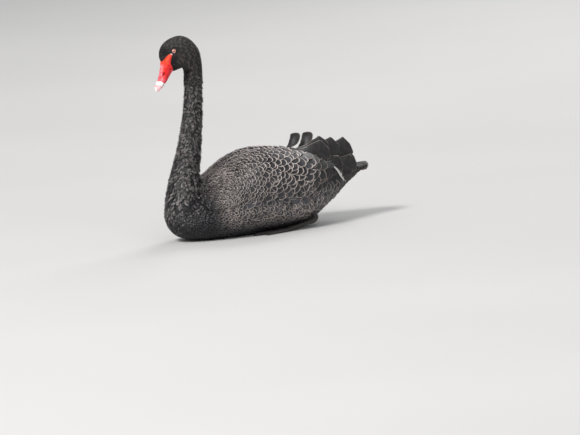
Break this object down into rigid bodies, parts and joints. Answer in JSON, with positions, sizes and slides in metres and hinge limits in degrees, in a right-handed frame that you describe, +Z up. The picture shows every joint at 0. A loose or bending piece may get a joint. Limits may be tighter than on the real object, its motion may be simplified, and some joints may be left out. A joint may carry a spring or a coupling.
{
  "type": "black swan",
  "caption": "Life-size black swan afloat, resting on its belly, with an upright neck, a bill that points down, folded ruffled wings and tucked feet.",
  "frame": {"origin": "under the middle of the bird's box, on the floor that its belly rests on", "axes": "+Z up, the bird looks along -Y with its tail towards +Y, and its left side is +X"},
  "size_m": [0.23, 0.5816, 0.5053],
  "materials": {
    "body_feathers": "dark grey feathers with pale fringes",
    "neck_feathers": "soft matt near-black feathers",
    "wing_feathers": "dark grey and brown-black feathers with pale fringes",
    "bill_horn": "satin red horn with a white band",
    "eye": "wet, clear cornea over a pale iris",
    "foot_skin": "dry scaly dark grey skin"
  },
  "bodies": {
    "root": {"trunk": "body_feathers", "tail": "body_feathers", "neck_lower": "neck_feathers", "neck_middle": "neck_feathers", "neck_upper": "neck_feathers", "head": "neck_feathers", "wing_left": "wing_feathers", "wing_right": "wing_feathers", "upper_bill": "bill_horn", "lower_bill": "bill_horn", "eye_left": "eye", "eye_right": "eye", "leg_left": "foot_skin", "leg_right": "foot_skin"}
  },
  "joints": []
}
